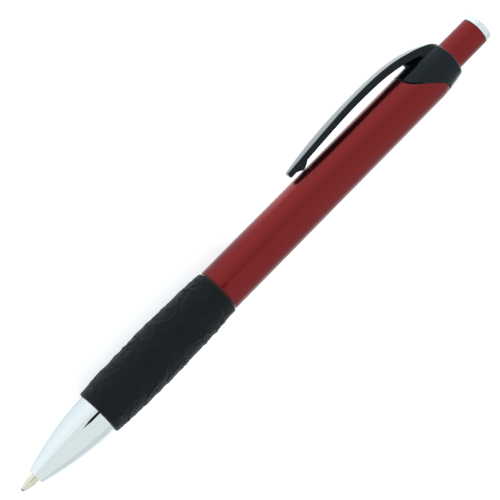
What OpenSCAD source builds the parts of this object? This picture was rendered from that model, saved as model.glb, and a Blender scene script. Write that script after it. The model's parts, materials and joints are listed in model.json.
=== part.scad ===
// Retractable ballpoint pen with a rubber grip, a curved clip and a click button.
// Inside the modules the pen stands on its writing ball: the height z runs from the ball to
// the button, and the clip points along +X. laid_down() then lays the finished pieces on a
// table, so that the pen rests on its grip and on the edge of its clip, the ball towards +X.

/* [Whole pen] */
// Length from the writing ball to the top of the button, tip out
pen_len = 143.3; // [142.5:0.1:144]
// Outer radius of the barrel
barrel_r = 5.36; // [5.3:0.02:5.5]
// Largest radius of the rubber grip
grip_r = 6.25; // [6.1:0.05:6.4]
// How far the button and the refill travel between tip out and tip in
click_travel = 5.5; // [5:0.1:5.5]

/* [Nose] */
// Height of the nose's front face
nose_z = 4.1; // [3.9:0.1:4.4]
// Radius of the nose's front face
nose_front_r = 1.85; // [1.75:0.05:1.95]
// Height of the joint between the nose and the grip
grip_z = 23; // [22.8:0.1:23.4]
// Radius of the nose where it meets the grip
nose_back_r = 4.94; // [4.86:0.02:5]
// Radius of the hole that the writing point comes through
nose_hole_r = 1.16; // [1.14:0.01:1.2]

/* [Barrel and grip] */
// Height of the joint between the grip and the barrel
barrel_z = 60.2; // [59:0.1:61]
// Radius of the barrel's core, which carries the grip
core_r = 4.7; // [4.65:0.05:4.75]
// Bore radius of the core
core_bore_r = 4.06; // [4.05:0.01:4.1]
// Bore radius of the barrel behind the core
bore_r = 4.4; // [4.38:0.01:4.42]
// Radius of the grip at its two ends
grip_end_r = 5.6; // [5.5:0.05:5.7]

/* [Cap and clip] */
// Height of the cap's top rim
cap_z = 132.9; // [132.8:0.1:133.2]
// Height of the middle of the wavy joint between the cap and the barrel
wave_z = 124.4; // [124.2:0.1:124.8]
// Half of the height that the wavy joint climbs round the pen
wave_h = 3.6; // [3.3:0.1:3.8]
// Radius of the cap's top rim
rim_r = 4.45; // [4.3:0.05:4.6]
// Height of the clip's free end
clip_z = 88.4; // [88:0.1:89]
// Height at which the clip stands furthest from the axis
clip_peak_z = 110.5; // [110:0.5:112]
// Largest distance of the clip's outer face from the pen's axis
clip_peak_r = 9.33; // [9.2:0.01:9.5]
// How much closer to the axis the clip's outer face is at its free end
clip_front_drop = 1.66; // [1.5:0.02:1.8]
// How much closer to the axis the clip's outer face is at the cap's rim
clip_back_drop = 4.55; // [4.45:0.05:4.7]
// Thickness of the clip at its free end
clip_end_t = 1.3; // [1.25:0.05:1.35]
// Thickness of the clip at its root
clip_root_t = 1.8; // [1.7:0.05:1.85]
// Height at which the clip's leaf shape is widest
clip_wide_z = 104; // [103:0.5:106]
// Largest half width of the clip
clip_wide_hw = 2.4; // [2.3:0.05:2.5]
// How much the clip's sides are drawn in between its leaf shape and its root
clip_waist = 0.35; // [0.2:0.05:0.4]
// Half width of the clip at its free end
clip_end_hw = 1.15; // [1:0.05:1.3]
// Half width of the clip at its root
clip_root_hw = 2.55; // [2.4:0.05:2.6]

/* [Button and refill] */
// Outer radius of the push button
plunger_r = 3.5; // [3.46:0.01:3.52]
// Height of the joint between the red button and its chrome cap
button_z = 141.7; // [141.4:0.1:142]
// Outer radius of the refill's ink tube
tube_r = 1.6; // [1.5:0.05:1.62]
// Radius of the writing ball
ball_r = 0.5; // [0.35:0.05:0.5]
// Radius of the writing point's shank
point_r = 1.08; // [1.05:0.01:1.1]
// Turns of the return spring
spring_turns = 11; // [9:1:13]

/* [Hidden] */
$fn = 96;

red = "#8a2228";
black = "#1d1f21";
chrome = "#d8dcdf";
cream = "#e9e6dc";
nickel = "#cfc9b8";

fit = 0.02;                 // gap between pieces that are pushed together
run = 0.08;                 // radial gap between pieces that slide or turn

// Heights inside the pen, from the ball upwards
cone_top_z = 2.4;           // where the point's cone becomes its shank
holder_z = 11.2;            // front of the refill's point holder
seat_z = 10;                // spring seat inside the nose
flange_z = 30;              // spring seat on the point holder
flange_t = 1.2;
thread_z = grip_z + 7;      // back end of the nose's threaded tail
tube_z = flange_z + flange_t;
plug_z = 104.4;             // back end of the ink tube
plug_t = 1.5;
ink_z = 82;                 // level of the ink
sleeve_z = 103;             // front of the cam sleeve
spigot_z = 110;             // front of the cap's spigot
sleeve_top_z = 119.2;
lip_z = 130.5;              // underside of the cap's top lip
skirt_z = 124;              // front of the button's shell
skirt_r = plunger_r + 0.17; // its skirt, which the cap's lip holds back
crown_top_z = 137.5;

// Cam mechanism: four sleeve ribs, four rotor ribs, a rise of click_travel in 45 degrees
cam_z = 108;                // lowest point of the sleeve ribs
cam_rise = click_travel / 45;
cam_r = 3;                  // radius at which the slanted faces have their true slope
cam_slope = cam_rise * 180 / PI / cam_r;
sleeve_r = 3.88;
sleeve_bore_r = 3.3;
rib_r = 2.75;               // inner radius of the sleeve's ribs
rib_half = 15;              // half angle of a sleeve rib
key_half = 10;              // half angle of a rotor rib or a crown key
rotor_rib_r = 3.15;
rotor_r = 2.5;
rotor_z = 102;
pilot_r = 1.5;
cam_gap = 0.2;              // free play between the slanted faces
crown_z = 111.5;            // tips of the crown's teeth
crown_r = 2.6;

// Cap
taper_z = 126.5;            // where the cap begins to narrow towards its rim
tongue_z = 129;             // top of the barrel, above its wavy edge
wave_mid = 85.5;            // angle from the clip to the middle of the joint's climb
wave_half = 50;             // half of the angle over which the joint climbs
spigot_r = bore_r - 0.04;
spigot_bore_r = skirt_r + 0.18;
skirt_bore_r = skirt_r + 0.1;

// Clip hinge: the thin root where the clip bends
flex_z = 125.6;
flex_r = 7.09;
knuckle_r = 0.64;
root_z = flex_z + 0.15;     // front of the part of the clip that belongs to the cap
merge_z = 127.9;            // where the clip's inner face runs into the cap
web_z = 124.1;              // front of the narrow web between the cap and the clip
web_hw = 1.5;
foot_z = clip_z + 3.5;      // middle of the foot that presses on the barrel
foot_r = 1.6;

// Profiles
function nose_r(z) = nose_front_r + (nose_back_r - nose_front_r)
    * (1 - (1 - (z - nose_z) / (grip_z - nose_z)) ^ 1.8);
function sleeve_grip_r(z) = grip_r - (grip_r - grip_end_r)
    * abs(2 * (z - grip_z) / (barrel_z - grip_z) - 0.96) ^ 2.8;
function cap_r(z) = z < taper_z ? barrel_r
    : barrel_r - (barrel_r - rim_r) * ((z - taper_z) / (cap_z - taper_z)) ^ 1.3;
function wave_at(a) = wave_z + wave_h * sin(90 * max(-1, min(1, (a - wave_mid) / wave_half)));
function clip_out(z) = z < clip_peak_z
    ? clip_peak_r - clip_front_drop * ((clip_peak_z - z) / (clip_peak_z - clip_z)) ^ 1.68
    : clip_peak_r - clip_back_drop * ((z - clip_peak_z) / (cap_z - clip_peak_z)) ^ 3.1;
function clip_in(z) = clip_out(z)
    - clip_end_t - (clip_root_t - clip_end_t) * (z - clip_z) / (flex_z - clip_z);
function clip_hw(z) = z < clip_wide_z
    ? clip_wide_hw - (clip_wide_hw - clip_end_hw)
        * ((clip_wide_z - z) / (clip_wide_z - clip_z)) ^ 2.8
    : let (f = (z - clip_wide_z) / (flex_z - clip_wide_z))
        clip_wide_hw + (clip_root_hw - clip_wide_hw) * f - clip_waist * sin(180 * f);

// How the pen lies: the clip points clip_drop degrees below the horizontal, so that its
// lower edge touches the table. clip_reach is how far the clip stands out sideways then.
function touch_angle(r, hw) = asin(grip_r / sqrt(r ^ 2 + hw ^ 2)) - atan(hw / r);
edge_z = [for (z = [96:0.5:122]) z];
clip_drop = min([for (z = edge_z) touch_angle(clip_out(z), clip_hw(z))]);
clip_reach = max([for (z = edge_z) clip_out(z) * cos(clip_drop) + clip_hw(z) * sin(clip_drop)]);
mid_z = pen_len / 2;
axis_y = (clip_reach - grip_r) / 2;

// Lays a standing piece on the table
module laid_down() {
    translate([mid_z, axis_y, grip_r])
        rotate([90 + clip_drop, 0, 0])
            rotate([0, -90, 0])
                children();
}

// A turned piece: points are [radius, height]
module turned(points) {
    rotate_extrude() polygon(points);
}

// A plain tube
module tube(outer, inner, z0, z1) {
    turned([[inner, z0], [outer, z0], [outer, z1], [inner, z1]]);
}

// Extrudes a [radius, height] outline across the pen, seen from the side of the clip
module side_cut(points, width) {
    rotate([90, 0, 0]) linear_extrude(width, center = true) polygon(points);
}

// Extrudes a [sideways, height] outline outwards along +X
module face_cut(points, depth) {
    rotate([90, 0, 90]) linear_extrude(depth) polygon(points);
}

// A sector of a ring, centred on +X, trimmed by a [sideways, height] outline
module rib(inner, outer, half, points) {
    intersection() {
        rotate([0, 0, -half]) rotate_extrude(angle = 2 * half)
            polygon([[inner, points[0][1] - 9], [outer, points[0][1] - 9],
                     [outer, 140], [inner, 140]]);
        face_cut(points, 5);
    }
}

// Everything above the wavy joint, raised by lift
module above_wave(lift) {
    side_cut(concat([for (a = [0:7.5:180]) [(barrel_r + 0.3) * cos(a), wave_at(a) + lift]],
                    [[-9, wave_at(180) + lift], [-9, 140], [9, 140], [9, wave_at(0) + lift]]),
             20);
}

// Red barrel with the thinner core that carries the grip
module barrel() {
    laid_down() color(red) difference() {
        turned(concat(
            [[core_bore_r, grip_z + 0.1], [core_r, grip_z + 0.1], [core_r, barrel_z - 0.1],
             [barrel_r - 0.15, barrel_z - 0.1], [barrel_r, barrel_z + 0.05]],
            [for (i = [0:5]) let (z = taper_z + (tongue_z - taper_z) * i / 5) [cap_r(z), z]],
            [[bore_r, tongue_z], [bore_r, barrel_z + 2], [core_bore_r, barrel_z + 1]]));
        above_wave(-0.06);
    }
}

// Rubber sleeve over the core
module grip_sleeve() {
    z0 = grip_z + 0.1;
    z1 = barrel_z - 0.45;
    laid_down() color(black) turned(concat(
        [[core_r + fit, z0], [sleeve_grip_r(z0) - 0.3, z0]],
        [for (i = [0:24]) let (z = z0 + 0.3 + (z1 - z0 - 0.7) * i / 24) [sleeve_grip_r(z), z]],
        [[sleeve_grip_r(z1) - 0.3, z1], [core_r + fit, z1]]));
}

// Chrome nose with the spring seat and a threaded tail
module nose_cone() {
    ridge = [for (i = [0:4]) each [[3.7, 25.6 + i], [4, 25.95 + i], [3.7, 26.3 + i]]];
    laid_down() color(chrome) turned(concat(
        [[nose_hole_r, nose_z], [nose_front_r - 0.25, nose_z], [nose_front_r, nose_z + 0.2]],
        [for (i = [1:20]) let (z = nose_z + (grip_z - nose_z) * i / 20) [nose_r(z), z]],
        [[3.7, grip_z]], ridge,
        [[3.7, thread_z], [3.1, thread_z], [3.1, 20], [2.4, 17], [2.4, seat_z],
         [1.5, seat_z], [1.5, 7], [nose_hole_r, 6.6]]));
}

// Outline of the clip and its root, from height z0 to z1
function clip_outline(z0, z1) = concat(
    [for (i = [0:24]) let (z = z0 + (z1 - z0) * i / 24) [clip_out(z), z]],
    [for (i = [24:-1:0]) let (z = z0 + (z1 - z0) * i / 24) [clip_in(z), z]]);

// Black cap: collar, spigot inside the barrel, and the root of the clip
module cap_collar() {
    step = (merge_z - root_z) / 6;
    laid_down() color(black) difference() {
        union() {
            intersection() {
                turned(concat(
                    [[4.2, 119], [barrel_r, 119]],
                    [for (i = [0:10]) let (z = taper_z + (cap_z - 0.4 - taper_z) * i / 10)
                        [cap_r(z), z]],
                    [[rim_r - 0.12, cap_z - 0.12], [rim_r - 0.4, cap_z], [3, cap_z],
                     [3, 130]]));
                above_wave(0.06);
            }
            tube(spigot_r, spigot_bore_r, spigot_z, 131);
            // root of the clip
            side_cut(concat(
                [for (i = [0:12]) let (z = root_z + (cap_z - 0.15 - root_z) * i / 12)
                    [clip_out(z), z]],
                [[3.9, cap_z - 0.15], [3.9, merge_z + 0.4]],
                [for (z = [merge_z:-step:root_z]) [clip_in(z), z]]), 2 * clip_root_hw);
            // web under the root, set back from the clip's sides
            side_cut([[5, web_z], [clip_in(web_z) - 0.5, web_z],
                      [clip_in(web_z + 0.3) - 0.2, web_z + 0.3], [clip_in(root_z) - 0.2, root_z],
                      [clip_in(merge_z), merge_z], [5, merge_z + 0.4]], 2 * web_hw);
        }
        // bore for the cam sleeve, room for the button's skirt, and the hole in the lip
        translate([0, 0, spigot_z - 1])
            cylinder(r = sleeve_r + fit, h = sleeve_top_z - spigot_z + 1.1);
        translate([0, 0, sleeve_top_z]) cylinder(r = skirt_bore_r, h = lip_z - sleeve_top_z);
        translate([0, 0, lip_z - 1]) cylinder(r = plunger_r + 0.05, h = 6);
        // socket of the bending root
        translate([flex_r, 0, flex_z]) rotate([90, 0, 0])
            cylinder(r = knuckle_r + 0.08, h = 8, center = true);
    }
}

// Spring clip with the ball-shaped foot that presses on the barrel
module clip_arm() {
    top_z = flex_z - 0.3;
    side = [for (i = [0:20]) let (z = clip_z + 0.5 + (top_z - clip_z - 0.5) * i / 20)
        [clip_hw(z), z]];
    laid_down() color(black) union() {
        intersection() {
            side_cut(clip_outline(clip_z, top_z), 8);
            face_cut(concat(
                [[0.75 * clip_end_hw, clip_z]], side,
                [for (i = [20:-1:0]) [-side[i][0], side[i][1]]],
                [[-0.75 * clip_end_hw, clip_z]]), 12);
        }
        translate([flex_r, 0, flex_z]) rotate([90, 0, 0])
            cylinder(r = knuckle_r, h = 2 * clip_root_hw, center = true);
        side_cut([[flex_r - 0.5, flex_z - 0.6], [flex_r + 0.5, flex_z - 0.6],
                  [flex_r + 0.4, flex_z], [flex_r - 0.4, flex_z]], 2 * clip_root_hw - 0.1);
        intersection() {
            translate([barrel_r + 0.05 + foot_r, 0, foot_z]) sphere(r = foot_r);
            translate([0, -2, clip_z]) cube([clip_out(foot_z) - 0.5, 4, 8]);
        }
    }
}

// Fixed sleeve whose ribs guide and catch the rotor
module cam_sleeve() {
    laid_down() color(cream) union() {
        tube(sleeve_r, sleeve_bore_r, sleeve_z, sleeve_top_z);
        for (a = [0:90:270]) rotate([0, 0, a])
            rib(rib_r, sleeve_bore_r + 0.05, rib_half,
                [[-2, cam_z + cam_rise * rib_half - 2 * cam_slope],
                 [2, cam_z + cam_rise * rib_half + 2 * cam_slope],
                 [2, sleeve_top_z], [-2, sleeve_top_z]]);
    }
}

// Rotor that the crown turns at each click
module cam_rotor() {
    top = cam_z + cam_rise * rib_half - cam_gap;
    laid_down() color(cream) difference() {
        union() {
            turned([[0, rotor_z], [rotor_r - 0.2, rotor_z], [rotor_r, rotor_z + 0.2],
                    [rotor_r, 109.6], [pilot_r, 110.4], [pilot_r, 115.6], [pilot_r - 0.3, 116],
                    [0, 116]]);
            for (a = [0:90:270]) rotate([0, 0, a])
                rib(rotor_r - 0.3, rotor_rib_r, key_half,
                    [[-2, 104], [2, 104], [2, top + 2 * cam_slope], [-2, top - 2 * cam_slope]]);
        }
        // cup for the end of the refill
        translate([0, 0, rotor_z - 1])
            cylinder(r = tube_r + 0.06, h = plug_z + plug_t + 1.02 - rotor_z);
    }
}

// Toothed crown on the button's inner tube
module thrust_crown() {
    laid_down() color(cream) difference() {
        union() {
            tube(crown_r, pilot_r + run, crown_z, crown_top_z);
            for (a = [45:90:315]) rotate([0, 0, a])
                rib(crown_r - 0.3, rotor_rib_r + 0.05, key_half,
                    [[-2, crown_z + 1], [2, crown_z + 1], [2, 118.9], [-2, 118.9]]);
        }
        // eight V notches
        for (a = [0:45:315]) rotate([0, 0, a])
            face_cut([[-0.85, crown_z - 0.1], [0.85, crown_z - 0.1], [0, crown_z + 0.8]], 5);
    }
}

// Red shell of the push button, with the skirt that keeps it in the cap
module plunger_shell() {
    laid_down() color(red)
        turned([[crown_r + fit, skirt_z], [skirt_r, skirt_z], [skirt_r, skirt_z + 1],
                [plunger_r, skirt_z + 1], [plunger_r, button_z - 0.1],
                [crown_r + fit, button_z - 0.1]]);
}

// Chrome cap on the end of the button
module button_cap() {
    laid_down() color(chrome)
        turned([[0, crown_top_z + 0.2], [crown_r, crown_top_z + 0.2], [crown_r, button_z],
                [plunger_r, button_z], [plunger_r, pen_len - 0.3],
                [plunger_r - 0.09, pen_len - 0.09], [plunger_r - 0.3, pen_len],
                [0, pen_len]]);
}

// Ink tube of the refill
module refill_tube() {
    laid_down() color("#e8ecee", 0.5) tube(tube_r, 1, tube_z + fit, plug_z);
}

// Ink inside the tube
module ink_column() {
    laid_down() color("#15181f") turned([[0, tube_z + 6.1], [0.98, tube_z + 6.1], [0.98, ink_z],
                                         [0.5, ink_z - 0.4], [0, ink_z - 0.5]]);
}

// Vented plug in the back end of the ink tube
module refill_plug() {
    laid_down() color(cream) turned([[0.3, plug_z - 6], [0.98, plug_z - 6], [0.98, plug_z + fit],
                                     [tube_r, plug_z + fit], [tube_r, plug_z + plug_t],
                                     [0.3, plug_z + plug_t]]);
}

// Holder that joins the point to the tube and seats the spring
module point_holder() {
    laid_down() color(cream)
        turned([[0.87, holder_z], [1.1, holder_z], [1.3, holder_z + 0.3], [1.3, flange_z],
                [2.3, flange_z], [2.3, tube_z], [0.98, tube_z], [0.98, tube_z + 6],
                [0.5, tube_z + 6], [0.5, holder_z + 5], [0.87, holder_z + 5]]);
}

// Metal writing point with the ball's socket and its ink channel
module writing_point() {
    laid_down() color(nickel) difference() {
        turned([[0, 0.3], [0.55, 0.3], [0.62, 0.42], [point_r - 0.06, cone_top_z - 0.1],
                [point_r, cone_top_z + 0.1], [point_r, holder_z - 0.05], [0.85, holder_z - 0.05],
                [0.85, holder_z + 4.8], [0, holder_z + 4.8]]);
        translate([0, 0, ball_r]) sphere(r = ball_r + fit);
        translate([0, 0, ball_r]) cylinder(r = 0.2, h = 20);
        translate([0, 0, 5]) cylinder(r = 0.45, h = 20);
    }
}

// Ball that rolls the ink on
module writing_ball() {
    laid_down() color("silver") translate([0, 0, ball_r]) sphere(r = ball_r);
}

// Return spring: a wire swept along a helix
module return_spring() {
    wire = 0.2;
    coil = 1.95;
    sides = 6;
    steps = 14;
    rings = spring_turns * steps;
    z0 = seat_z + wire + 0.03;
    pitch = (flange_z - seat_z - 2 * wire - 0.06) / spring_turns;
    points = [for (i = [0:rings], k = [0:sides - 1])
        let (a = 360 * i / steps, b = 360 * k / sides, r = coil + wire * cos(b))
        [r * cos(a), r * sin(a), z0 + pitch * i / steps + wire * sin(b)]];
    skin = [for (i = [0:rings - 1], k = [0:sides - 1])
        let (n = (k + 1) % sides)
        [i * sides + k, (i + 1) * sides + k, (i + 1) * sides + n, i * sides + n]];
    ends = [[for (k = [0:sides - 1]) k], [for (k = [sides - 1:-1:0]) rings * sides + k]];
    laid_down() color("silver") polyhedron(points, concat(skin, ends), convexity = 8);
}

barrel();
grip_sleeve();
nose_cone();
cap_collar();
clip_arm();
cam_sleeve();
plunger_shell();
thrust_crown();
button_cap();
cam_rotor();
refill_tube();
ink_column();
refill_plug();
point_holder();
writing_point();
writing_ball();
return_spring();
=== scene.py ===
import json
import math
import bmesh
import bpy
import numpy as np
from mathutils import Matrix, Vector, noise

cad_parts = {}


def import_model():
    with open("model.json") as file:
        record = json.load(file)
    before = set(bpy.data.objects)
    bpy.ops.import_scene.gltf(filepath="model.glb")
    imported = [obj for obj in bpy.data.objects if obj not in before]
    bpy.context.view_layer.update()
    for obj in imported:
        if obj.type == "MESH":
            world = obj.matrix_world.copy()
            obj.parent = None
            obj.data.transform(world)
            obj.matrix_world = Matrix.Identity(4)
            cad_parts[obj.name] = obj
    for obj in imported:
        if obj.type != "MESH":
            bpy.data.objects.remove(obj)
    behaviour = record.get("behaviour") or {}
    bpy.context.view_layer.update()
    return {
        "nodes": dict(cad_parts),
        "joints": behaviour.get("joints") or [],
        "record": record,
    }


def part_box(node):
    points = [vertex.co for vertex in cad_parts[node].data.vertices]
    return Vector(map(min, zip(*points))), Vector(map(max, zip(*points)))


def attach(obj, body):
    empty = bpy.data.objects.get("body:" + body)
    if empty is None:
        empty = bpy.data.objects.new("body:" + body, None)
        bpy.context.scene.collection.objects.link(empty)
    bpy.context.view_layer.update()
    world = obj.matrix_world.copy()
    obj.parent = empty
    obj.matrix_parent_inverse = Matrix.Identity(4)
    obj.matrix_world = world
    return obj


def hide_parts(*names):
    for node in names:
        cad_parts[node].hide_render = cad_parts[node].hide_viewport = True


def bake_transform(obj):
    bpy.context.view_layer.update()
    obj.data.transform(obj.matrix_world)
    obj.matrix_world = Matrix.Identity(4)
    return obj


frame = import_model()

# ---------------------------------------------------------------- the pen's own axes
# Lengths below are in millimetres. u runs from the writing ball to the button, r is the
# distance from the pen's axis, and phi turns round it from the clip's side.
MM = 0.001
TURN = 2 * math.pi

ball_lo, ball_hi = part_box("writing_ball")
shell_lo, shell_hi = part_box("plunger_shell")
AXIS_Y = (shell_lo.y + shell_hi.y) / 2
AXIS_Z = (shell_lo.z + shell_hi.z) / 2
TIP_X = ball_hi.x
flex = next(j for j in frame["joints"] if j["name"] == "clip_flex")
CLIP_DIR = Vector((0, flex["axis"][2], -flex["axis"][1]))
SIDE_DIR = Vector((0, -flex["axis"][1], -flex["axis"][2]))


def node_u(name):
    """Lowest and highest u of a CAD node, in millimetres."""
    lo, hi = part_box(name)
    return (TIP_X - hi.x) / MM, (TIP_X - lo.x) / MM


def node_r(name):
    """Outer radius of a turned CAD node, in millimetres."""
    lo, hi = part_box(name)
    return (hi.z - lo.z) / 2 / MM


NOSE_U = node_u("nose_cone")[0]
GRIP_U, GRIP_END_U = node_u("grip_sleeve")
PEN_LEN = node_u("button_cap")[1]
CAP_U = node_u("cap_collar")[1]
CLIP_U = node_u("clip_arm")[0]
CORE_U, BARREL_TOP_U = node_u("barrel")
BARREL_R = node_r("barrel")
GRIP_R = node_r("grip_sleeve")
PLUNGER_R = node_r("button_cap")
FLEX_U = (TIP_X - flex["pos_m"][0]) / MM

BARREL_U = GRIP_END_U + 0.35        # front of the red barrel
NOSE_END_U = GRIP_U - 0.1           # back of the chrome cone
NOSE_FRONT_R, NOSE_BACK_R, NOSE_SWELL = 1.85, 4.94, 1.8
NOSE_HOLE_R = 1.16
SEAT_U = 10.0                       # the spring's seat in the nose
GRIP_END_R, GRIP_SWELL = 5.6, 2.8
CORE_R, CORE_BORE_R, BORE_R = 4.7, 4.06, 4.42
RIM_R = 4.45                        # the cap's rim, round the button
TAPER_U, TAPER_BEND = 126.5, 1.3    # where the cap begins to narrow, and how roundly
WAVE_U, WAVE_H = 124.4, 3.6         # middle and half height of the wavy joint
WAVE_MID, WAVE_HALF = 85.5, 50      # degrees from the clip over which the joint climbs
BUTTON_U = 141.7                    # joint between the red button and its chrome end
SKIRT_R = PLUNGER_R + 0.17          # collar at the button's hidden end
INSERT_R = 2.58                     # stem of the chrome end, inside the red shell
POINT_R = 1.08
CLIP_PEAK_U, CLIP_PEAK_R = 110.5, 9.3
CLIP_FRONT_DROP, CLIP_FRONT_BEND = 1.66, 1.68
CLIP_BACK_DROP, CLIP_BACK_BEND = 4.55, 3.1
CLIP_END_T, CLIP_ROOT_T = 1.3, 1.8  # thickness at the clip's tip and root
CLIP_WIDE_U, CLIP_WIDE_HW = 104.0, 2.38
CLIP_WAIST, CLIP_END_HW, CLIP_ROOT_HW = 0.35, 1.15, 2.53
CLIP_TOP_U = CAP_U - 0.06
CLIP_TOP_SOFT = 1.3                 # length over which the clip's top rounds into the rim
CLIP_SUNK_R = 4.0                   # inner face of the clip's root, sunk in the cap
WEB_U, WEB_END_U, WEB_HW, WEB_BASE_HW = 124.2, 128.4, 0.4, 2.3
FOOT_U = CLIP_U + 3.5


def world(u, r, phi):
    """Arrays of u, r, phi to points of the row frame, in metres."""
    u, r, phi = np.broadcast_arrays(u, r, phi)
    across = np.cos(phi)[..., None] * np.array(CLIP_DIR)
    across = across + np.sin(phi)[..., None] * np.array(SIDE_DIR)
    points = across * (r * MM)[..., None]
    points[..., 0] += TIP_X - u * MM
    points[..., 1] += AXIS_Y
    points[..., 2] += AXIS_Z
    return points


def wave_u(phi):
    """Height of the wavy joint at angle phi from the clip."""
    a = np.degrees(np.abs((phi + math.pi) % TURN - math.pi))
    climb = np.clip((a - WAVE_MID) / WAVE_HALF, -1, 1)
    return WAVE_U + WAVE_H * np.sin(math.pi / 2 * climb)


def cap_r(u):
    """Outer radius of the barrel and, past TAPER_U, of the narrowing cap."""
    t = np.clip((np.asarray(u, float) - TAPER_U) / (CAP_U - TAPER_U), 0, None)
    return BARREL_R - (BARREL_R - RIM_R) * t ** TAPER_BEND


def nose_r(u):
    """Outer radius of the chrome cone."""
    t = (np.asarray(u, float) - NOSE_U) / (NOSE_END_U - NOSE_U)
    return NOSE_FRONT_R + (NOSE_BACK_R - NOSE_FRONT_R) * (1 - np.clip(1 - t, 0, 1) ** NOSE_SWELL)


def grip_r(u):
    """Radius of the grip without its relief: widest a little in front of its middle."""
    t = np.abs(2 * (u - NOSE_END_U) / (GRIP_END_U + 0.45 - NOSE_END_U) - 0.96)
    return GRIP_R - (GRIP_R - GRIP_END_R) * t ** GRIP_SWELL


def clip_out(u):
    """Distance of the clip's outer face from the axis."""
    u = np.asarray(u, float)
    front = np.clip((CLIP_PEAK_U - u) / (CLIP_PEAK_U - CLIP_U), 0, None)
    back = np.clip((u - CLIP_PEAK_U) / (CAP_U - CLIP_PEAK_U), 0, None)
    return (CLIP_PEAK_R - CLIP_FRONT_DROP * front ** CLIP_FRONT_BEND
            - CLIP_BACK_DROP * back ** CLIP_BACK_BEND)


def clip_in(u):
    """Distance of the clip's inner face from the axis."""
    thicker = (np.asarray(u, float) - CLIP_U) / (FLEX_U - CLIP_U)
    return clip_out(u) - CLIP_END_T - (CLIP_ROOT_T - CLIP_END_T) * thicker


def clip_hw(u):
    """Half width of the clip: a long leaf, drawn in a little before its wider root."""
    u = np.asarray(u, float)
    front = np.clip((CLIP_WIDE_U - u) / (CLIP_WIDE_U - CLIP_U), 0, None)
    back = np.clip((u - CLIP_WIDE_U) / (FLEX_U - CLIP_WIDE_U), 0, 1)
    return (CLIP_WIDE_HW - (CLIP_WIDE_HW - CLIP_END_HW) * front ** 2.8
            + (CLIP_ROOT_HW - CLIP_WIDE_HW) * back - CLIP_WAIST * np.sin(math.pi * back))


# ---------------------------------------------------------------- meshes
def mesh_object(name, points, faces, sharp=35):
    """A smooth-shaded mesh with normals pointing outwards and crisp edges kept crisp."""
    mesh = bpy.data.meshes.new(name)
    mesh.from_pydata([tuple(p) for p in points], [], faces)
    bm = bmesh.new()
    bm.from_mesh(mesh)
    bmesh.ops.recalc_face_normals(bm, faces=bm.faces)
    bm.to_mesh(mesh)
    bm.free()
    mesh.polygons.foreach_set("use_smooth", [True] * len(mesh.polygons))
    mesh.set_sharp_from_angle(angle=math.radians(sharp))
    obj = bpy.data.objects.new(name, mesh)
    bpy.context.scene.collection.objects.link(obj)
    return obj


def turned(name, rows, segments=192, closed=True, sharp=35):
    """A turned shell. Each row is (r, u), and either may be an array over the segments."""
    phi = np.arange(segments) * TURN / segments
    points, rings = [], []
    for r, u in rows:
        r = np.broadcast_to(np.asarray(r, float), phi.shape)
        if r.max() < 1e-6:
            rings.append([len(points)] * segments)
            points.append(world(np.asarray(u, float).mean(), 0.0, 0.0))
        else:
            rings.append(list(range(len(points), len(points) + segments)))
            points.extend(world(np.broadcast_to(np.asarray(u, float), phi.shape), r, phi))
    faces = []
    pairs = list(zip(rings, rings[1:])) + ([(rings[-1], rings[0])] if closed else [])
    for a, b in pairs:
        for i in range(segments):
            j = (i + 1) % segments
            face = [a[i], a[j], b[j], b[i]]
            faces.append(list(dict.fromkeys(face)))
    return mesh_object(name, points, faces, sharp)


def lofted(name, points, count, sharp=35):
    """A closed skin through rings of count points each, with a flat face at both ends."""
    faces = []
    for low in range(0, len(points) - count, count):
        for i in range(count):
            j = (i + 1) % count
            faces.append([low + i, low + j, low + count + j, low + count + i])
    faces.append(list(range(count)))
    faces.append(list(reversed(range(len(points) - count, len(points)))))
    return mesh_object(name, points, faces, sharp)


def arc(r, u, radius, start, end, steps=6):
    """Points of a rounded edge centred on (r, u), with angles in degrees from the r axis."""
    angles = np.radians(np.linspace(start, end, steps + 1))
    return [(r + radius * math.cos(a), u + radius * math.sin(a)) for a in angles]


# ---------------------------------------------------------------- materials
class Nodes:
    """A material under construction: nodes are added and linked in one call each."""

    def __init__(self, name):
        self.material = bpy.data.materials.new(name)
        self.material.use_nodes = True
        self.tree = self.material.node_tree
        self.shader = self.tree.nodes["Principled BSDF"]

    def add(self, kind, values=None, links=None, **settings):
        made = self.tree.nodes.new(kind)
        for key, value in settings.items():
            setattr(made, key, value)
        for key, value in (values or {}).items():
            made.inputs[key].default_value = value
        for key, socket in (links or {}).items():
            self.tree.links.new(socket, made.inputs[key])
        return made

    def coords(self, scale=(1, 1, 1)):
        """Object coordinates in millimetres, times scale."""
        place = self.add("ShaderNodeTexCoord").outputs["Object"]
        size = [1000 * s for s in scale]
        return self.add("ShaderNodeMapping", {"Scale": size}, {"Vector": place}).outputs[0]

    def noise(self, scale, detail=3.0, rough=0.5, stretch=(1, 1, 1)):
        return self.add("ShaderNodeTexNoise",
                        {"Scale": scale, "Detail": detail, "Roughness": rough},
                        {"Vector": self.coords(stretch)}).outputs["Fac"]

    def ramp(self, fac, stops):
        """A colour ramp; stops are (position, value), the value a number or a colour."""
        made = self.add("ShaderNodeValToRGB", None, {"Fac": fac})
        elements = made.color_ramp.elements
        while len(elements) < len(stops):
            elements.new(0.5)
        for element, (position, value) in zip(elements, stops):
            element.position = position
            element.color = (*value, 1) if isinstance(value, tuple) else (value, value, value, 1)
        return made.outputs["Color"]

    def bump(self, height, distance, strength=1.0, normal=None):
        links = {"Height": height}
        if normal is not None:
            links["Normal"] = normal
        return self.add("ShaderNodeBump", {"Strength": strength, "Distance": distance * MM},
                        links).outputs["Normal"]

    def set(self, values=None, links=None):
        for key, value in (values or {}).items():
            self.shader.inputs[key].default_value = value
        for key, socket in (links or {}).items():
            self.tree.links.new(socket, self.shader.inputs[key])
        return self.material


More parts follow.
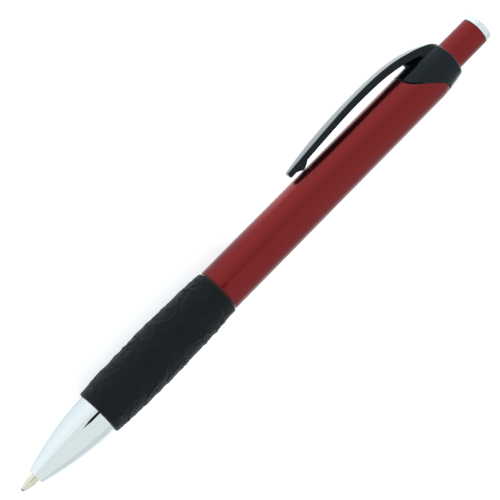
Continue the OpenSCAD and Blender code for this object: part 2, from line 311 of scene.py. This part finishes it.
def satin_red():
    """Metallic red lacquer: fine flakes, a faint cloudiness and a satin clear coat."""
    m = Nodes("satin_red")
    flakes = m.noise(9.0, 2.0, 0.6)
    clouds = m.noise(0.12, 2.0)
    colour = m.ramp(flakes, [(0.25, (0.200, 0.0012, 0.0034)), (0.75, (0.236, 0.0029, 0.0064))])
    rough = m.ramp(clouds, [(0.2, 0.32), (0.8, 0.38)])
    return m.set({"Metallic": 1.0, "Coat Weight": 0.78, "Coat Roughness": 0.18,
                  "Specular Tint": (0.45, 0.42, 0.42, 1), "Sheen Weight": 0.5,
                  "Sheen Roughness": 0.3, "Sheen Tint": (0.88, 0.97, 1.0, 1)},
                 {"Base Color": colour, "Roughness": rough,
                  "Normal": m.bump(flakes, 0.004, 0.35)})


def black_gloss():
    """Moulded glossy black plastic with a slight unevenness and faint handling marks."""
    m = Nodes("black_gloss")
    swell = m.noise(0.35, 2.0)
    marks = m.noise(2.0, 4.0, 0.6, (0.15, 1, 1))
    rough = m.ramp(marks, [(0.35, 0.10), (0.75, 0.17)])
    return m.set({"Base Color": (0.0004, 0.0032, 0.0064, 1), "Specular IOR Level": 0.38,
                  "Specular Tint": (0.82, 0.97, 1.0, 1), "Sheen Weight": 0.9,
                  "Sheen Roughness": 0.25, "Sheen Tint": (0.84, 0.95, 1.0, 1)},
                 {"Roughness": rough, "Normal": m.bump(swell, 0.02, 0.25)})


def grip_rubber():
    """Matte black rubber with a fine skin and duller valleys."""
    m = Nodes("grip_rubber")
    skin = m.noise(6.0, 4.0, 0.6)
    wear = m.noise(0.5, 3.0)
    colour = m.ramp(wear, [(0.3, (0.0026, 0.0036, 0.0046)), (0.75, (0.0052, 0.0068, 0.0084))])
    rough = m.ramp(skin, [(0.3, 0.50), (0.75, 0.64)])
    return m.set({"Specular IOR Level": 0.29, "Sheen Weight": 0.16, "Sheen Roughness": 0.4,
                  "Specular Tint": (0.84, 0.97, 1.0, 1), "Sheen Tint": (0.80, 0.94, 1.0, 1)},
                 {"Base Color": colour, "Roughness": rough,
                  "Normal": m.bump(skin, 0.03, 0.5)})


def bright_chrome():
    """Bright chrome plating with a barely visible ripple and hairline marks."""
    m = Nodes("bright_chrome")
    ripple = m.noise(0.5, 2.0)
    hairs = m.noise(3.0, 3.0, 0.6, (0.1, 2, 2))
    rough = m.ramp(hairs, [(0.4, 0.035), (0.8, 0.085)])
    return m.set({"Base Color": (0.72, 0.785, 0.80, 1), "Metallic": 1.0,
                  "Specular Tint": (0.80, 0.83, 0.84, 1)},
                 {"Roughness": rough, "Normal": m.bump(ripple, 0.01, 0.15)})


def turned_metal(name, colour, roughness, pitch):
    """Machined metal with fine turning lines round the axis."""
    m = Nodes(name)
    lines = m.noise(1.0 / pitch, 2.0, 0.6, (1, 0.02, 0.02))
    rough = m.ramp(lines, [(0.3, roughness * 0.8), (0.7, roughness * 1.3)])
    return m.set({"Base Color": (*colour, 1), "Metallic": 1.0},
                 {"Roughness": rough, "Normal": m.bump(lines, 0.006, 0.4)})


def moulded(name, colour, roughness, spread=0.06):
    """Plain moulded plastic with a slight mottle and a fine moulded skin."""
    m = Nodes(name)
    mottle = m.noise(0.8, 3.0)
    skin = m.noise(8.0, 2.0)
    pale = tuple(min(1, c * (1 + spread)) for c in colour)
    dark = tuple(c * (1 - spread) for c in colour)
    rough = m.ramp(skin, [(0.3, roughness * 0.9), (0.7, roughness * 1.15)])
    return m.set({"Specular IOR Level": 0.45},
                 {"Base Color": m.ramp(mottle, [(0.3, dark), (0.7, pale)]), "Roughness": rough,
                  "Normal": m.bump(skin, 0.01, 0.3)})


def clear_tube():
    """Translucent ink tube."""
    m = Nodes("clear_tube")
    streaks = m.noise(2.0, 2.0, 0.5, (0.1, 1, 1))
    rough = m.ramp(streaks, [(0.3, 0.18), (0.7, 0.30)])
    return m.set({"Base Color": (0.86, 0.88, 0.89, 1), "Transmission Weight": 0.75, "IOR": 1.49},
                 {"Roughness": rough})


def wet_ink():
    """Thick black-blue ink."""
    m = Nodes("wet_ink")
    swirl = m.noise(1.2, 2.0)
    colour = m.ramp(swirl, [(0.3, (0.006, 0.007, 0.012)), (0.7, (0.012, 0.013, 0.020))])
    return m.set({"Roughness": 0.12, "Coat Weight": 0.3}, {"Base Color": colour})


MATERIALS = {
    "red_metallic": satin_red(),
    "black_gloss": black_gloss(),
    "grip_rubber": grip_rubber(),
    "bright_chrome": bright_chrome(),
    "nickel_silver": turned_metal("nickel_silver", (0.71, 0.705, 0.60), 0.16, 0.05),
    "carbide": turned_metal("carbide", (0.20, 0.20, 0.21), 0.22, 0.03),
    "spring_steel": turned_metal("spring_steel", (0.58, 0.58, 0.60), 0.22, 0.04),
    "cam_plastic": moulded("cam_plastic", (0.76, 0.74, 0.67), 0.38),
    "tube_plastic": clear_tube(),
    "ink": wet_ink(),
}


def finish_piece(obj, slot_name, body, *nodes):
    """Gives a piece its material, its body and the CAD nodes that it stands for."""
    obj.data.materials.clear()
    obj.data.materials.append(MATERIALS[slot_name])
    if body:
        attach(obj, body)
    if nodes:
        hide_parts(*nodes)


# ---------------------------------------------------------------- the pieces
def make_nose():
    """Chrome cone, its bored front, and a tail with a real helical thread."""
    segments = 256
    phi = np.arange(segments) * TURN / segments
    tail_end = node_u("nose_cone")[1]
    hole_edge, front_edge = 0.08, 0.22
    rows = arc(NOSE_HOLE_R + hole_edge, NOSE_U + hole_edge, hole_edge, 180, 270, 4)
    rows += arc(NOSE_FRONT_R - front_edge, NOSE_U + front_edge, front_edge, -90, -20, 6)
    rows += [(nose_r(u), u) for u in np.linspace(NOSE_U + 0.2, NOSE_END_U - 0.06, 90)]
    tail_r, ridge_h, pitch = 3.70, 0.29, 1.0
    rows += [(NOSE_BACK_R - 0.05, NOSE_END_U), (tail_r + 0.02, NOSE_END_U)]
    thread_u, thread_end = NOSE_END_U + 0.3, tail_end - 0.5
    for u in np.linspace(thread_u, thread_end, 70):
        along = (u - NOSE_END_U) / pitch - phi / TURN
        ridge = np.clip(1.5 - 4.2 * np.abs((along % 1) - 0.5), 0, 1)
        ease = max(0, min(1, (u - thread_u) / 1.2, (thread_end - u) / 0.8))
        rows.append((tail_r + ridge_h * ridge * ease, u))
    tail_bore, room, throat = 3.1, 2.4, 1.5
    rows += [(tail_r - 0.02, tail_end - 0.25), (tail_r - 0.2, tail_end), (tail_bore, tail_end),
             (tail_bore, 20), (room, 17), (room, SEAT_U), (throat, SEAT_U), (throat, 7),
             (NOSE_HOLE_R, 6.6), (NOSE_HOLE_R, 6.0), (NOSE_HOLE_R, 5.0)]
    finish_piece(turned("nose", rows, segments), "bright_chrome", "nose", "nose_cone")


def grip_relief(points):
    """Depth of the leather-like relief, 0 in the valleys to 1 on the crests."""
    cells = 0.235                   # cells of the grain in a millimetre
    depth = np.empty(len(points))
    for i, point in enumerate(points):
        p = Vector(point) / MM
        warp = noise.noise_vector(p * 0.22) * 2.4
        distances, _ = noise.voronoi((p + warp) * cells)
        border = 1 - min(1, (distances[1] - distances[0]) * 3.2)
        curl = noise.turbulence(p * 0.55 + warp, 3, False, noise_basis="PERLIN_ORIGINAL")
        fine = noise.fractal(p * 2.3, 0.7, 2.0, 2)
        depth[i] = 0.30 + border * (0.35 + 0.95 * curl) + 0.24 * fine - 0.08 * (1 - border)
    return np.clip(depth, 0, 1)


def make_grip():
    """Rubber sleeve whose raised relief fades out at its two plain ends."""
    segments, stations = 300, 260
    front_edge, back_edge = 0.35, 0.55
    relief_depth, plain_depth, slack = 0.27, 0.05, 0.01
    phi = np.arange(segments) * TURN / segments
    us = np.linspace(GRIP_U + front_edge, GRIP_END_U - back_edge, stations)
    grid_u, grid_phi = np.meshgrid(us, phi, indexing="ij")
    base = grip_r(grid_u)
    relief = grip_relief(world(grid_u, base, grid_phi).reshape(-1, 3)).reshape(base.shape)
    fade = np.clip((grid_u - GRIP_U - 0.5) / 1.8, 0, 1)
    fade = fade * np.clip((GRIP_END_U - 0.5 - grid_u) / 1.5, 0, 1)
    fade = fade * fade * (3 - 2 * fade)
    radii = base - slack - relief_depth * (1 - relief) * fade - plain_depth * (1 - fade)
    front, back = radii[0].mean(), radii[-1].mean()
    rows = [(CORE_R + 0.02, GRIP_U)]
    rows += arc(front - front_edge, GRIP_U + front_edge, front_edge, -90, -8, 6)
    rows += [(radii[i], us[i]) for i in range(stations)]
    rows += arc(back - back_edge, GRIP_END_U - back_edge, back_edge, 8, 90, 8)
    rows += [(CORE_R + 0.02, GRIP_END_U)]
    finish_piece(turned("grip", rows, segments, sharp=60), "grip_rubber", "barrel",
                 "grip_sleeve")


def make_barrel():
    """Red barrel: core under the grip, satin tube, and the wavy edge towards the cap."""
    segments = 256
    phi = np.arange(segments) * TURN / segments
    edge = wave_u(phi) - 0.08
    gap_depth, front_edge, wavy_edge, stations = 0.35, 0.12, 0.05, 40
    rows = [(CORE_BORE_R, CORE_U + 0.2), (CORE_BORE_R + 0.19, CORE_U), (CORE_R - 0.1, CORE_U),
            (CORE_R, CORE_U + 0.1), (CORE_R, GRIP_END_U - 0.1), (CORE_R - gap_depth, GRIP_END_U),
            (CORE_R - gap_depth, BARREL_U)]
    rows += arc(BARREL_R - front_edge, BARREL_U + front_edge, front_edge, -90, 0, 4)
    start = BARREL_U + 0.2
    for i in range(1, stations + 1):
        u = start + (edge - wavy_edge - start) * (i / stations)
        rows.append((cap_r(u), u))
    for angle in (30, 60, 90):
        a = math.radians(angle)
        rows.append((cap_r(edge) - wavy_edge * (1 - math.cos(a)),
                     edge - wavy_edge * (1 - math.sin(a))))
    rows += [(BORE_R, edge), (BORE_R, BARREL_U + 2), (CORE_BORE_R, BARREL_U + 1)]
    finish_piece(turned("barrel_tube", rows, segments), "red_metallic", "barrel", "barrel")


def make_cap():
    """Black collar: wavy lower edge, narrowing top, and the hole that the button slides in."""
    segments = 256
    phi = np.arange(segments) * TURN / segments
    edge = wave_u(phi) + 0.32
    wavy_edge, soft, stations = 0.07, 0.75, 30
    rows = []
    for angle in (90, 60, 30):
        a = math.radians(angle)
        rows.append((cap_r(edge) - wavy_edge * (1 - math.cos(a)),
                     edge + wavy_edge * (1 - math.sin(a))))
    start, end = edge + 0.08, CAP_U - soft
    for i in range(stations + 1):
        u = start + (end - start) * (i / stations)
        rows.append((cap_r(u), u))
    rows += arc(cap_r(end) - soft, end, soft, 12, 90, 7)
    hole, room, step = PLUNGER_R + 0.06, SKIRT_R + 0.1, SKIRT_R + 0.18
    rows += [(hole + 0.12, CAP_U)] + arc(hole + 0.1, CAP_U - 0.1, 0.1, 90, 180, 4)[1:]
    stop_u, room_u, spigot_u = 130.5, 119.3, 110.1
    spigot_r, spigot_bore = 4.36, 3.9
    rows += [(hole, stop_u + 0.1), (room, stop_u), (room, room_u), (step, room_u - 0.1),
             (spigot_bore, room_u - 0.2), (spigot_bore, spigot_u), (spigot_r - 0.06, spigot_u),
             (spigot_r, spigot_u + 0.3), (spigot_r, edge - 0.3), (spigot_r, edge)]
    finish_piece(turned("cap", rows, segments), "black_gloss", "barrel", "cap_collar")


def foot_depth(u, y):
    """Share of the gap to the barrel that the clip's foot fills: a cone with a blunt tip,
    1 at the tip and 0 from its reach on."""
    reach, blunt = 1.95, 0.06
    away = math.hypot(u - FOOT_U, 0.6 * y) / reach
    return max(0.0, 1 + blunt - math.hypot(away, blunt))


TIP_SOFT = 0.5                      # length of the clip's blunted tip


def clip_section(u):
    """One cross-section of the clip as points (sideways, radius): a flat bar with crisp
    corners and a faintly crowned outer face. Its tip is blunted, and towards the cap's rim its
    sides lean together and its inner face sinks into the cap."""
    out, inner, hw = float(clip_out(u)), float(clip_in(u)), float(clip_hw(u))
    end = min(1.0, (u - CLIP_U) / TIP_SOFT)
    blunt = 1 - math.sqrt(max(0.0, 1 - (1 - end) ** 2))
    hw *= 1 - 0.3 * blunt
    out, inner = out - 0.15 * blunt, inner + 0.15 * blunt
    out_hw = hw - 1.6 * max(0.0, (u - 126.0) / (CAP_U - 126.0))
    hw -= 0.45 * min(1.0, max(0.0, (u - 124.5) / 4.0))
    sunk = u > WEB_END_U
    if sunk:
        inner = CLIP_SUNK_R
        surface = float(cap_r(u)) - 0.1 - 0.5 * max(0.0, u - CAP_U + 0.75) / 0.75
        hw = min(hw, math.sqrt(max(0.3, surface ** 2 - inner ** 2)))
    corner, height, side_steps = 0.13, 0.04, 5

    def bend(y_centre, r_centre, start):
        angles = np.radians(np.linspace(start, start + 90, 5))
        return [(y_centre + corner * math.cos(a), r_centre + corner * math.sin(a)) for a in angles]

    outer = bend(out_hw - corner, out - corner, 0)
    across = np.linspace(out_hw - corner, -out_hw + corner, 14)[1:-1]
    outer += [(y, out) for y in across] + bend(-out_hw + corner, out - corner, 90)
    crown = height * out_hw / CLIP_WIDE_HW
    outer = [(y, r - crown * (y / out_hw) ** 2) for y, r in outer]
    lower = bend(-hw + corner, inner + corner, 180)
    across = np.linspace(-hw + corner, hw - corner, 26)[1:-1]
    lower += [(y, inner) for y in across] + bend(hw - corner, inner + corner, 270)
    if not sunk:
        lower = [(y, r - (inner - BARREL_R - 0.03) * foot_depth(u, y)) for y, r in lower]

    def between(a, b):
        a, b = np.array(a), np.array(b)
        return [tuple(a + (b - a) * i / side_steps) for i in range(1, side_steps)]

    return outer + between(outer[-1], lower[0]) + lower + between(lower[-1], outer[0])


def make_clip():
    """The clip with its foot; its root runs into the cap."""
    foot_end, top = FOOT_U + 2.2, CLIP_TOP_U - CLIP_TOP_SOFT
    tip_turn = np.linspace(0, math.pi / 2, 8)[:-1]
    top_turn = np.linspace(0, math.pi / 2, 14)[1:]
    us = np.concatenate([CLIP_U + TIP_SOFT * (1 - np.cos(tip_turn)),
                         np.linspace(CLIP_U + TIP_SOFT, foot_end, 48)[:-1],
                         np.linspace(foot_end, top, 110),
                         CLIP_TOP_U - CLIP_TOP_SOFT * (1 - np.sin(top_turn))])
    points = []
    for u in us:
        outline = clip_section(u)
        if u > top:
            sink = 1 - math.sqrt(max(0.0, 1 - ((u - top) / CLIP_TOP_SOFT) ** 2))
            outline = [(y, r - 0.9 * sink * max(0.0, r - CLIP_SUNK_R)) for y, r in outline]
        points.extend(world(u, math.hypot(y, r), math.atan2(y, r)) for y, r in outline)
    clip = lofted("clip", points, len(outline), 40)
    finish_piece(clip, "black_gloss", None, "clip_arm")
    world(128.6, 6.0, 0.0)
    world(121.6, 6.0, 0.0)
    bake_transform(clip)


def make_web():
    """Web that fills the corner between the cap and the clip's root: a ridge with sloping
    sides that grows wider towards the root."""
    soft, spread_len, base_r, steps = 0.3, 2.0, 4.6, 9
    points = []
    us = np.concatenate([WEB_U + soft * (1 - np.cos(np.linspace(0, math.pi / 2, 6))),
                         np.linspace(WEB_U + soft, WEB_END_U, 16)[1:]])
    for u in us:
        narrow = soft - math.sqrt(max(0.0, soft ** 2 - max(0.0, WEB_U + soft - u) ** 2))
        spread = (WEB_BASE_HW - WEB_HW) * min(1.0, (u - WEB_U) / spread_len) ** 0.5
        top = min(float(clip_in(u)) + 0.2, float(clip_out(u)) - 0.6)
        heights = np.linspace(base_r, top, steps)
        widths = WEB_HW - narrow + spread * np.linspace(1, 0, steps)
        outline = list(zip(widths, heights)) + list(zip(-widths[::-1], heights[::-1]))
        points.extend(world(u, math.hypot(y, r), math.atan2(y, r)) for y, r in outline)
    finish_piece(lofted("clip_web", points, 2 * steps), "black_gloss", "barrel")


def make_button():
    """Red button shell with its skirt, and the chrome end."""
    skirt = node_u("plunger_shell")[0]
    bore, top = INSERT_R + 0.05, BUTTON_U - 0.1
    rows = [(bore, skirt), (SKIRT_R - 0.02, skirt), (SKIRT_R, skirt + 0.05), (SKIRT_R, skirt + 1),
            (PLUNGER_R, skirt + 1)]
    rows += [(PLUNGER_R, u) for u in np.linspace(skirt + 1.2, top - 0.07, 12)]
    rows += arc(PLUNGER_R - 0.06, top - 0.06, 0.06, 0, 90, 3) + [(bore, top)]
    finish_piece(turned("button_shell", rows), "red_metallic", "plunger", "plunger_shell")
    edge, small, stem = 0.28, 0.05, 4.0
    rows = [(0, BUTTON_U - stem), (INSERT_R, BUTTON_U - stem), (INSERT_R, BUTTON_U)]
    rows += [(PLUNGER_R - small, BUTTON_U)]
    rows += arc(PLUNGER_R - small, BUTTON_U + small, small, -60, 0, 3)
    rows += arc(PLUNGER_R - edge, PEN_LEN - edge, edge, 0, 90, 8)
    rows += [(2.6, PEN_LEN), (1.6, PEN_LEN), (0.7, PEN_LEN), (0, PEN_LEN)]
    finish_piece(turned("button_end", rows, closed=False), "bright_chrome", "plunger",
                 "button_cap")


def make_point():
    """Writing point: rolled lip, cone, waist and shank, the spigot behind it and the bore."""
    lip = [(0.47, 0.34), (0.5, 0.3), (0.54, 0.31), (0.58, 0.38), (0.60, 0.5)]
    cone_r, cone_u, cone_len = 0.62, 0.6, 1.7
    cone = [(cone_r + (POINT_R - 0.065 - cone_r) * t ** 0.9, cone_u + cone_len * t)
            for t in np.linspace(0, 1, 12)]
    shank_end, spigot_end, spigot_r, bore, channel = 11.15, 16.0, 0.85, 0.45, 0.2
    shank = [(POINT_R - 0.035, 2.36), (POINT_R - 0.02, 2.42), (POINT_R, 2.55), (POINT_R, 6.0),
             (POINT_R, shank_end - 0.15), (POINT_R - 0.04, shank_end)]
    spigot = [(spigot_r, shank_end), (spigot_r, spigot_end), (bore, spigot_end)]
    inside = [(bore, 5.0), (channel, 4.7), (channel, 1.0), (0.45, 0.78), (0.52, 0.5)]
    rows = lip + cone + shank + spigot + inside
    finish_piece(turned("point", rows, 96), "nickel_silver", "refill", "writing_point")


def make_spring():
    """Return spring: one wire, close-coiled at both ends."""
    wire, coil, sides, steps = 0.2, 1.95, 10, 28
    close = 2.1 * wire              # pitch of the close coils
    start, end = SEAT_U + wire, node_u("return_spring")[1] - wire
    turns, dead = 12.0, 1.5
    count = int(turns * steps)
    points = []
    for i in range(count + 1):
        t = turns * i / count
        if t < dead:
            u = start + t * close
        elif t > turns - dead:
            u = end - (turns - t) * close
        else:
            low, high = start + dead * close, end - dead * close
            u = low + (high - low) * (t - dead) / (turns - 2 * dead)
        for k in range(sides):
            b = TURN * k / sides
            points.append(world(u + wire * math.sin(b), coil + wire * math.cos(b), TURN * t))
    spring = lofted("spring", points, sides)
    finish_piece(spring, "spring_steel", None, "return_spring")
    world(11.0, 0.0, 0.0)
    world(29.0, 0.0, 0.0)
    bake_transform(spring)


# ---------------------------------------------------------------- camera, light and floor
CLIP_ROLL = math.radians(14)        # how far the clip is turned towards the camera
LEAN = math.radians(45.40)          # slope of the pen in the picture
FOOT = -12.0                        # the point of the axis that the camera is square to
DISTANCE = 500.0
FOCAL = 2339.0 / 500                # focal length in widths of the picture
SENSOR = 36


def make_camera():
    """The camera, square to the axis at FOOT; returns the direction from there to it."""
    across = math.pi / 2 - CLIP_ROLL
    out = math.cos(across) * CLIP_DIR - math.sin(across) * SIDE_DIR
    if out.z < 0:
        out = math.cos(across) * CLIP_DIR + math.sin(across) * SIDE_DIR
    foot = Vector(world(FOOT, 0.0, 0.0))
    place = foot + out * DISTANCE * MM
    centre = Vector(world(PEN_LEN / 2, 0.0, 0.0))
    back = (place - centre).normalized()
    pen = Vector((-1, 0, 0))
    pen = (pen - back * pen.dot(back)).normalized()
    right = math.cos(LEAN) * pen - math.sin(LEAN) * back.cross(pen)
    up = back.cross(right)
    data = bpy.data.cameras.new("camera")
    data.sensor_width = SENSOR
    data.lens = SENSOR * FOCAL
    data.clip_start, data.clip_end = 0.01, 10
    camera = bpy.data.objects.new("camera", data)
    bpy.context.scene.collection.objects.link(camera)
    turn = Matrix((right, up, back)).transposed().to_4x4()
    # the pen's middle lies a little right of and below the picture's middle
    shift = right * (-1.31 * MM) + up * (0.65 * MM)
    camera.matrix_world = Matrix.Translation(place + shift) @ turn
    bpy.context.scene.camera = camera
    return out


def make_world(view_height):
    """A light tent: white all round, brighter low down on the clip's side, a little grey behind,
    and with a narrow dark slit beside the camera. A direction is given as its height, in degrees
    round X from the horizon on the clip's side up, and its tilt, in degrees along X."""
    world_data = bpy.data.worlds.new("studio")
    bpy.context.scene.world = world_data
    world_data.use_nodes = True
    tree = world_data.node_tree
    background = tree.nodes["Background"]

    def math_node(operation, *values):
        made = tree.nodes.new("ShaderNodeMath")
        made.operation = operation
        for i, value in enumerate(values):
            if isinstance(value, (int, float)):
                made.inputs[i].default_value = value
            else:
                tree.links.new(value, made.inputs[i])
        return made.outputs[0]

    def map_range(value, low, high, to_low, to_high):
        made = tree.nodes.new("ShaderNodeMapRange")
        tree.links.new(value, made.inputs["Value"])
        for key, number in (("From Min", low), ("From Max", high), ("To Min", to_low),
                            ("To Max", to_high)):
            made.inputs[key].default_value = number
        return made.outputs[0]

    coords = tree.nodes.new("ShaderNodeTexCoord")
    split = tree.nodes.new("ShaderNodeSeparateXYZ")
    tree.links.new(coords.outputs["Generated"], split.inputs[0])
    x, y, z = split.outputs
    height = math_node("DEGREES", math_node("ARCTAN2", z, math_node("MULTIPLY", y, -1)))
    tilt = math_node("DEGREES", math_node("ARCSINE", x))
    ramp = tree.nodes.new("ShaderNodeValToRGB")
    tree.links.new(math_node("DIVIDE", height, 180), ramp.inputs["Fac"])
    # the tent's brightness, from height 0 to height 180
    stops = ((0.0, 1.12), (0.125, 1.12), (0.14, 1.0), (0.755, 1.0), (0.785, 0.875), (1.0, 0.885))
    elements = ramp.color_ramp.elements
    while len(elements) < len(stops):
        elements.new(0.5)
    for element, (position, level) in zip(elements, stops):
        element.position = position
        element.color = (level, level * 1.008, level * 1.012, 1)
    # the slit is a wedge: widest below a tilt of 3.2 degrees, gone at 8, faded out below -5
    half = map_range(tilt, 3.2, 8.0, 6.6, 0.0)
    away = math_node("ABSOLUTE", math_node("SUBTRACT", height, view_height))
    inside = map_range(math_node("SUBTRACT", away, half), -0.5, 0.5, 1.0, 0.0)
    depth = map_range(tilt, -9.0, -5.0, 0.0, 0.97)
    open_slit = math_node("MULTIPLY", inside, depth)
    tree.links.new(ramp.outputs["Color"], background.inputs["Color"])
    tree.links.new(math_node("SUBTRACT", 1.0, open_slit), background.inputs["Strength"])


def make_floor():
    """A plain pale light table. It glows most in the strip under the clip, which the clip's
    outer face mirrors, and least in front of the nose."""
    size = 3.0
    mesh = bpy.data.meshes.new("floor")
    corners = [(-size, -size, 0), (size, -size, 0), (size, size, 0), (-size, size, 0)]
    mesh.from_pydata(corners, [], [[0, 1, 2, 3]])
    floor = bpy.data.objects.new("floor", mesh)
    bpy.context.scene.collection.objects.link(floor)
    m = Nodes("floor_light_table")
    grain = m.noise(0.02, 2.0)
    place = m.add("ShaderNodeSeparateXYZ", None,
                  {"Vector": m.add("ShaderNodeTexCoord").outputs["Object"]})
    strip_y = AXIS_Y + (CLIP_PEAK_R - 1.6) * MM * CLIP_DIR.y
    beside = m.add("ShaderNodeMath", {1: strip_y}, {0: place.outputs["Y"]}, operation="SUBTRACT")
    beside = m.add("ShaderNodeMath", None, {0: beside.outputs[0]}, operation="ABSOLUTE")
    centre = m.add("ShaderNodeMapRange",
                   {"From Min": -0.058, "From Max": -0.046, "To Min": 1.0, "To Max": 1.5},
                   {"Value": place.outputs["X"]}, interpolation_type="SMOOTHSTEP")
    strip = m.add("ShaderNodeMapRange",
                  {"From Min": 0.003, "From Max": 0.007, "To Max": 0.85},
                  {"Value": beside.outputs[0], "To Min": centre.outputs[0]},
                  interpolation_type="SMOOTHSTEP")
    glow = m.add("ShaderNodeMapRange", {"From Min": -0.016, "From Max": 0.006, "To Max": 0.79},
                 {"Value": place.outputs["X"], "To Min": strip.outputs[0]},
                 interpolation_type="SMOOTHSTEP")
    colour = m.ramp(grain, [(0.0, (0.375, 0.378, 0.382)), (1.0, (0.395, 0.398, 0.402))])
    mesh.materials.append(m.set({"Roughness": 0.9, "Specular IOR Level": 0.1,
                                 "Emission Color": (0.97, 1.0, 1.02, 1)},
                                {"Base Color": colour, "Emission Strength": glow.outputs[0]}))


view_out = make_camera()
make_world(math.degrees(math.atan2(view_out.z, -view_out.y)))
make_floor()

make_nose()
make_grip()
make_barrel()
make_cap()
make_clip()
make_web()
make_button()
make_point()
make_spring()

for node_name in ("writing_ball", "cam_sleeve", "cam_rotor", "thrust_crown", "refill_tube",
                  "ink_column", "refill_plug", "point_holder"):
    node_slot = next(s["material_slot"] for s in frame["record"]["subparts"]
                     if s["node"] == node_name)
    node_object = frame["nodes"][node_name]
    node_object.data.materials.clear()
    node_object.data.materials.append(MATERIALS[node_slot])

view = bpy.context.scene.view_settings
view.view_transform = "Standard"
view.gamma = 1 / 1.15
